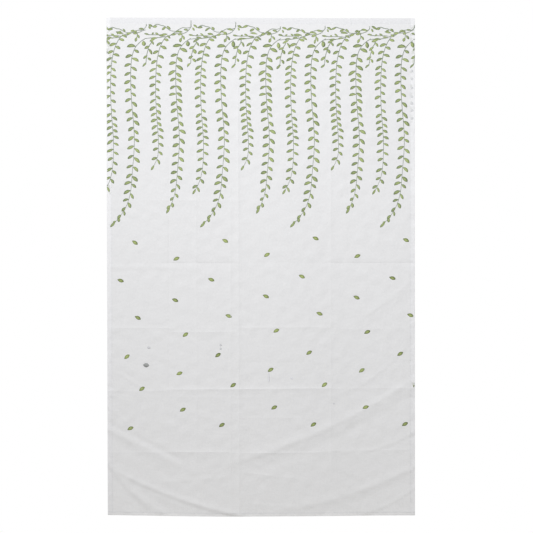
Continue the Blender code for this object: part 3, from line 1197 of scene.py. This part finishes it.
def opaque(colour):
    """Three numbers of a colour with a full alpha behind them. A wire stays as it is."""
    return colour if isinstance(colour, Wire) else (*colour, 1.0)


class Finish(Network):
    """A material that ends in one surface shader."""

    def __init__(self, name, shown_colour):
        self.material = bpy.data.materials.new(name)
        self.material.diffuse_color = opaque(shown_colour)
        super().__init__(self.material)

    def parts(self, wire):
        """The three numbers of a vector, each on a wire of its own."""
        made = self.node("ShaderNodeSeparateXYZ", {}, [wire])
        return [Wire(self, socket) for socket in made.socket.node.outputs]

    def mix_colours(self, share, first, second):
        """The first colour at share 0 and the second at share 1."""
        sockets = {0: share, 6: opaque(first), 7: opaque(second)}
        return self.node("ShaderNodeMix", {"data_type": "RGBA"}, sockets, 2)

    def wear(self, surface, *pieces):
        """Ends the network in a surface and puts the material on the pieces."""
        self.node("ShaderNodeOutputMaterial", {}, {"Surface": surface})
        for piece in pieces:
            piece.data.materials.clear()
            piece.data.materials.append(self.material)


print("what a finish adds:", [name for name in vars(Finish) if name[0] != "_"])

# %% Threads of the weave
THREAD_PITCH = 0.00045
SLUB_STRETCH = 40.0
SLUB_SCALE = 16.0
SLUB_ROUGHNESS = 0.5
NOISE_DETAIL = 2.0


def cloth_place(finish):
    """Each point's place on the flat cloth, in metres."""
    return finish.node("ShaderNodeUVMap", {"uv_map": CLOTH_MAP})


def noise(finish, place, scale, roughness):
    """Smooth noise over a flat place, about 0 to 1, with a few finer octaves on it."""
    return finish.node(
        "ShaderNodeTexNoise",
        {"noise_dimensions": "2D"},
        {"Vector": place, "Scale": scale, "Detail": NOISE_DETAIL, "Roughness": roughness},
    )


def bump(finish, height, strength):
    """The normal of a surface with a height in metres, taken at a share of its strength."""
    return finish.node("ShaderNodeBump", {}, {"Strength": strength, "Distance": 1.0, "Height": height})


def woven(finish):
    """Weave, from -1 to 1, and weft and warp slubs, about 0 to 1, over the flat cloth.

    A plain weave is sin(2 pi u / pitch) * sin(2 pi v / pitch). A slub is noise that is stretched
    many times longer one way than the other.
    """
    u, v, _ = finish.parts(cloth_place(finish))
    per_metre = 2.0 * np.pi / THREAD_PITCH
    weave = (u * per_metre).sine() * (v * per_metre).sine()

    def slubs(scale_u, scale_v):
        """Noise with a scale of its own along the weft, u, and along the warp, v."""
        place = finish.node("ShaderNodeCombineXYZ", {}, [u * scale_u, v * scale_v, 0.0])
        return noise(finish, place, 1.0, SLUB_ROUGHNESS)

    weft = slubs(SLUB_SCALE, SLUB_SCALE * SLUB_STRETCH)
    warp = slubs(SLUB_SCALE * SLUB_STRETCH, SLUB_SCALE)
    return weave, weft, warp


print("threads to a centimetre:", round(0.01 / THREAD_PITCH))

# %% [markdown]
# ## Voile
# Voile is a thin plain weave of fine, hard twisted yarn with open space between the threads. It
# sends back most of the light, lets some of it glow through and leaves some of the view behind it
# clear. One shader with less alpha would show the view but not the glow. So the finish is a matt
# white shader mixed with a translucent one, and then with clear air in the share that the weave
# leaves open. Slubs make that share uneven in faint streaks. A hem is two or three layers deep, and
# its layers block the light that glows through from behind. So a mask on the flat cloth paints the
# sides and the foot whiter, as painted light that makes up for it, the foot most. Along each seam it
# paints a greyer line, partly painted shade of the stitched edge and partly the tucked raw edge that
# shows through.

# %% Relief of the voile
VOILE_PALE = (0.905, 0.907, 0.922)
WEAVE_HEIGHT = 0.00006
SLUB_HEIGHT = 0.00010
COCKLE_SCALE = 75.0
COCKLE_ROUGHNESS = 0.55
COCKLE_HEIGHT = 0.0021
CLOTH_BUMP = 0.6

voile = Finish("voile", VOILE_PALE)
weave, weft, warp = woven(voile)
slub = weft * 0.5 + warp * 0.5
cockle = noise(voile, cloth_place(voile), COCKLE_SCALE, COCKLE_ROUGHNESS)
voile_height = weave * WEAVE_HEIGHT + slub * SLUB_HEIGHT + cockle * COCKLE_HEIGHT
voile_bump = bump(voile, voile_height, CLOTH_BUMP)
print("cockles, mm across:", round(1000 / COCKLE_SCALE, 1))

# %% Tones of the voile, and the painted light and shade of its hems and seams
VOILE_DEEP = (0.870, 0.873, 0.892)
# Painted light: the hems are painted whiter than the voile, to make up for the light that their layers
# block, and the foot is painted whitest.
VOILE_HEM_PAINTED_LIGHT = (0.962, 0.964, 0.979)
VOILE_FOOT_PAINTED_LIGHT = (0.990, 0.991, 0.999)
# The seam line is partly painted shade of the stitched edge and partly the tucked raw edge showing
# through.
VOILE_SEAM_LINE_AND_SHADE = (0.874, 0.878, 0.896)
SEAM_BREADTH = 0.0030
SEAM_SOFT = 0.0012


def beyond(place, edge, soft):
    """0 where a wire's place is short of the edge and 1 past it, with an even step between."""
    return ((place - edge) * (1.0 / soft)).most(0.0).least(1.0)


voile_u, voile_v, _ = voile.parts(cloth_place(voile))
beside, below = voile_u.size(), voile_v * -1.0
voile_colour = voile.mix_colours(slub, VOILE_DEEP, VOILE_PALE)
# The sides and the foot get painted light, and each seam a greyer line that is partly painted shade.
hems = [(beside, WIDTH / 2 - SIDE_HEM, VOILE_HEM_PAINTED_LIGHT), (below, DROP - BOTTOM_HEM, VOILE_FOOT_PAINTED_LIGHT)]
for place, edge, colour in hems:
    voile_colour = voile.mix_colours(beyond(place, edge, SEAM_SOFT), voile_colour, colour)
    # A greyer band along each seam: partly painted shade, partly the raw edge inside the hem.
    line = beyond(place, edge - SEAM_BREADTH / 2, SEAM_SOFT)
    line = line - beyond(place, edge + SEAM_BREADTH / 2, SEAM_SOFT)
    voile_colour = voile.mix_colours(line, voile_colour, VOILE_SEAM_LINE_AND_SHADE)
print("hems with tones of their own:", len(hems))

# %% Surface of the voile
VOILE_GLOW = (0.888, 0.890, 0.907)
GLOW_SHARE = 0.34
COVER = 0.86
COVER_WEAVE = 0.03
COVER_SLUB = 0.10
VOILE_ROUGHNESS = 0.88
CLOTH_SHINE = 0.25
VOILE_SHEEN = 0.12
SHEEN_ROUGHNESS = 0.55
CLEAR = (1.0, 1.0, 1.0)

voile_front = voile.node(
    "ShaderNodeBsdfPrincipled",
    {},
    {
        "Base Color": voile_colour,
        "Roughness": VOILE_ROUGHNESS,
        "Specular IOR Level": CLOTH_SHINE,
        "Sheen Weight": VOILE_SHEEN,
        "Sheen Roughness": SHEEN_ROUGHNESS,
        "Normal": voile_bump,
    },
)
voile_glow = voile.node(
    "ShaderNodeBsdfTranslucent", {}, {"Color": opaque(VOILE_GLOW), "Normal": voile_bump}
)
voile_cloth = voile.node("ShaderNodeMixShader", {}, [GLOW_SHARE, voile_front, voile_glow])
cover = COVER + weave * COVER_WEAVE + (slub - 0.5) * COVER_SLUB
open_air = voile.node("ShaderNodeBsdfTransparent", {}, {"Color": opaque(CLEAR)})
voile.wear(voile.node("ShaderNodeMixShader", {}, [cover, open_air, voile_cloth]), cloth)
print("voile: cover", COVER, "and glow", GLOW_SHARE, "in", len(voile.tree.nodes), "nodes")

# %% [markdown]
# ## Printing ink
# The leaves are printed in two greens that blend: darker along the upper edge and at both ends,
# yellower in the middle. The ink sits on the yarn, so the weave breaks it up a little, and no two
# leaves take quite the same amount. The stems are a thin grey green, and the misprints a grey and
# a trace of it. One texture could hold all of this, but a formula of the place on the leaf stays
# sharp at any distance and needs only three numbers at each point.

# %% What all inks share
INK_SHINE = CLOTH_SHINE


def ink_marks(finish):
    """The three numbers of a printed point: along, how far up, and tone."""
    return finish.parts(finish.node("ShaderNodeAttribute", {"attribute_name": INK_MARKS}, (), 1))


def ink_surface(finish, colour, weave, roughness):
    """Matt ink with the relief of the weave that it sits on."""
    sockets = {"Base Color": colour, "Roughness": roughness, "Specular IOR Level": INK_SHINE}
    sockets["Normal"] = bump(finish, weave * WEAVE_HEIGHT, CLOTH_BUMP)
    return finish.node("ShaderNodeBsdfPrincipled", {}, sockets)


print("marks that carry the ink:", INK_MARKS)

# %% Leaf ink
LEAF_DARK = (0.104, 0.140, 0.076)
LEAF_LIGHT = (0.368, 0.440, 0.180)
LEAF_PALE = (0.450, 0.510, 0.315)
FALLEN_DARK = (0.092, 0.116, 0.034)
FALLEN_LIGHT = (0.410, 0.488, 0.190)
LEAF_ENDS = 0.8
FALLEN_ENDS = 1.2
RIM_POWER = 3.0
RIM_SHARE = 0.55
TOP_EDGE_POWER = 1.6
TOP_EDGE_SHARE = 0.75
LEAF_TONE_SHARE = 0.36
LEAF_SLUB_SHARE = 0.35
MIDRIB_SLIMNESS = 7.0
MIDRIB_SHARE = 0.30
LEAF_ROUGHNESS = 0.82


def leaf_finish(name, dark, light, end_power, piece):
    """Green ink: its light share is high in the middle, and falls to the ends and the upper edge.

    light share = (4 along (1 - along))^end_power * (1 - a share of how near the rim) * (1 - a
    share of how near the upper edge), stirred by the leaf's own tone and the slubs. A midrib is a
    narrow line along the middle, fading towards the tip.
    """
    finish = Finish(name, light)
    weave, weft, warp = woven(finish)
    along, upper, tone = ink_marks(finish)
    middle = (along * (1.0 - along) * 4.0) ** end_power
    rim = upper.size() ** RIM_POWER
    top_edge = (upper * 0.5 + 0.5) ** TOP_EDGE_POWER
    share = middle * (1.0 - rim * RIM_SHARE) * (1.0 - top_edge * TOP_EDGE_SHARE)
    share = share + (tone - 0.5) * LEAF_TONE_SHARE
    share = share + (weft - 0.5) * LEAF_SLUB_SHARE + (warp - 0.5) * LEAF_SLUB_SHARE
    colour = finish.mix_colours(share.most(0.0).least(1.0), dark, light)
    midrib = (1.0 - upper.size() * MIDRIB_SLIMNESS).most(0.0) * (1.0 - along)
    colour = finish.mix_colours(midrib * MIDRIB_SHARE, colour, LEAF_PALE)
    finish.wear(ink_surface(finish, colour, weave, LEAF_ROUGHNESS), piece)
    print(name, "nodes:", len(finish.tree.nodes))


leaf_finish("leaf_ink", LEAF_DARK, LEAF_LIGHT, LEAF_ENDS, leaves)
leaf_finish("fallen_leaf_ink", FALLEN_DARK, FALLEN_LIGHT, FALLEN_ENDS, fallen_leaves)

# %% Stem ink and misprints
STEM_DARK = (0.150, 0.176, 0.140)
STEM_LIGHT = (0.400, 0.440, 0.375)
GREY_INK = (0.300, 0.310, 0.305)
FAINT_INK = (0.700, 0.705, 0.735)
PLAIN_SLUB_SHARE = 0.5
PLAIN_ROUGHNESS = 0.84


def plain_ink(name, dark, light, piece):
    """Ink of two shades, light at tone 0 and dark at tone 1, stirred by the slubs."""
    finish = Finish(name, light)
    weave, weft, warp = woven(finish)
    tone = ink_marks(finish)[2]
    share = tone + ((weft - 0.5) * PLAIN_SLUB_SHARE + (warp - 0.5) * PLAIN_SLUB_SHARE)
    colour = finish.mix_colours(share.most(0.0).least(1.0), light, dark)
    finish.wear(ink_surface(finish, colour, weave, PLAIN_ROUGHNESS), piece)
    print(name, "nodes:", len(finish.tree.nodes))


plain_ink("stem_ink", STEM_DARK, STEM_LIGHT, stems)
plain_ink("misprint_ink", GREY_INK, FAINT_INK, misprints)

# %% [markdown]
# ## Thread
# The hems are sewn with a white thread of two twisted plies, a little glossier than the voile. Its
# plies could be modelled, but they are under half a millimetre thick, so a slanting sine over the
# flat cloth, white on the plies and grey as painted shade in the grooves between them, with the same
# sine as its relief, stands for the twist.

# %% Thread finish
THREAD_WHITE = (0.880, 0.880, 0.895)
THREAD_GROOVE_SHADE = (0.760, 0.765, 0.780)
TWIST_PITCH = 0.0011
TWIST_HEIGHT = 0.00005
TWIST_BUMP = 0.5
THREAD_ROUGHNESS = 0.55
THREAD_SHEEN = 0.15

thread = Finish("thread", THREAD_WHITE)
thread_u, thread_v, _ = thread.parts(cloth_place(thread))
# Where the twist is low, in the grooves between the plies, the thread is painted grey as painted shade.
twist = ((thread_u + thread_v) * (2.0 * np.pi / TWIST_PITCH)).sine() * 0.5 + 0.5
thread_surface = thread.node(
    "ShaderNodeBsdfPrincipled",
    {},
    {
        "Base Color": thread.mix_colours(twist, THREAD_GROOVE_SHADE, THREAD_WHITE),
        "Roughness": THREAD_ROUGHNESS,
        "Sheen Weight": THREAD_SHEEN,
        "Normal": bump(thread, twist * TWIST_HEIGHT, TWIST_BUMP),
    },
)
thread.wear(thread_surface, stitches)
print("twists in a stitch:", round(STITCH_LENGTH / TWIST_PITCH, 1))

# %% [markdown]
# ## What each piece is
# The cloth stands for the packed panel, which is hidden, and everything rides on the one body: the
# cloth, the print and the thread.

# %% Ride and replace
for piece, slot in (
    (cloth, "voile"),
    (leaves, "leaf_print"),
    (fallen_leaves, "leaf_print"),
    (stems, "stem_print"),
    (misprints, "stem_print"),
    (stitches, "thread"),
):
    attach(piece, BODY)
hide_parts(PANEL_NODE)

# %% [markdown]
# ## The studio
# The photograph is a shop's: the camera square to the cloth, a white background and soft light.
# The cloth is brightest at its top and falls off evenly towards the foot, so a wide soft light
# stands in front, to the left and well above the top edge, with a narrowed beam that is tilted
# down. The rest is an even white room. It lights the cloth only weakly, and the camera sees it as
# pure white. A pale, slightly warm floor lies below the foot, outside the photograph's frame.

# %% Camera, square to the cloth
PICTURE = 533
METRES_PER_PIXEL = 0.0042772
CAMERA_AWAY = 9.0
PANEL_MIDDLE_PIXEL = 260.6
TOP_EDGE_PIXEL = 17.95
SENSOR = 36.0

camera_data = bpy.data.cameras.new("camera")
camera_data.sensor_width = SENSOR
camera_data.lens = SENSOR * CAMERA_AWAY / (PICTURE * METRES_PER_PIXEL)
camera = bpy.data.objects.new("camera", camera_data)
bpy.context.scene.collection.objects.link(camera)
camera.location = (
    (PICTURE / 2 - PANEL_MIDDLE_PIXEL) * METRES_PER_PIXEL,
    -CAMERA_AWAY,
    -(PICTURE / 2 - TOP_EDGE_PIXEL) * METRES_PER_PIXEL,
)
camera.rotation_euler = (np.pi / 2, 0.0, 0.0)
bpy.context.scene.camera = camera
print("lens, mm:", round(camera_data.lens, 1))

# %% Light
KEY_POWER = 102.4
KEY_TURN = -16.2
KEY_DOWN = 19.3
KEY_PLACE = (-1.3, -5.5, 1.6)
KEY_SIZE = (3.0, 0.6)
KEY_SPREAD = 90.0

key_data = bpy.data.lights.new("key_light", "AREA")
key_data.shape = "RECTANGLE"
key_data.size, key_data.size_y = KEY_SIZE
key_data.energy = KEY_POWER
key_data.spread = np.radians(KEY_SPREAD)
key = bpy.data.objects.new("key_light", key_data)
bpy.context.scene.collection.objects.link(key)
key.location = KEY_PLACE
key.rotation_euler = (np.pi / 2 - np.radians(KEY_DOWN), 0.0, np.radians(KEY_TURN))
print("key light, W:", KEY_POWER, "from", KEY_PLACE)

# %% White room
ROOM_LIGHT = 0.265
ROOM_WHITE = (1.0, 1.0, 1.0)

world = bpy.data.worlds.new("white_room")
bpy.context.scene.world = world
sky = Network(world)
seen = sky.node("ShaderNodeLightPath", {}, (), "Is Camera Ray")
room = sky.node("ShaderNodeBackground", {}, {"Color": opaque(ROOM_WHITE), "Strength": ROOM_LIGHT})
backdrop = sky.node("ShaderNodeBackground", {}, {"Color": opaque(ROOM_WHITE)})
mixed = sky.node("ShaderNodeMixShader", {}, [seen, room, backdrop])
sky.node("ShaderNodeOutputWorld", {}, {"Surface": mixed})
bpy.context.scene.view_settings.view_transform = "Standard"
print("room light:", ROOM_LIGHT, "of the backdrop's")

# %% Floor
FLOOR_LEVEL = -2.50
FLOOR_SIZE = (5.0, 2.6)
FLOOR_BACK = 1.2
FLOOR_GRID = (9, 7)
FLOOR_COLOUR = (0.550, 0.520, 0.460)
FLOOR_ROUGHNESS = 0.7

floor_x, floor_y = np.meshgrid(
    np.linspace(-FLOOR_SIZE[0] / 2, FLOOR_SIZE[0] / 2, FLOOR_GRID[0]),
    np.linspace(FLOOR_BACK - FLOOR_SIZE[1], FLOOR_BACK, FLOOR_GRID[1]),
)
floor_points = np.stack([floor_x, floor_y, np.full_like(floor_x, FLOOR_LEVEL)], axis=-1)
floor, _ = piece_from(
    "floor",
    floor_points.reshape(-1, 3),
    grid_quads(*floor_x.shape)[:, ::-1],
    np.stack([floor_x.ravel(), floor_y.ravel()], axis=-1),
)
paint = Finish("floor_paint", FLOOR_COLOUR)
painted = {"Base Color": opaque(FLOOR_COLOUR), "Roughness": FLOOR_ROUGHNESS}
paint.wear(paint.node("ShaderNodeBsdfPrincipled", {}, painted), floor)
print("floor below the foot, m:", round(-FLOOR_LEVEL - DROP, 2))

# %% [markdown]
# ## The end
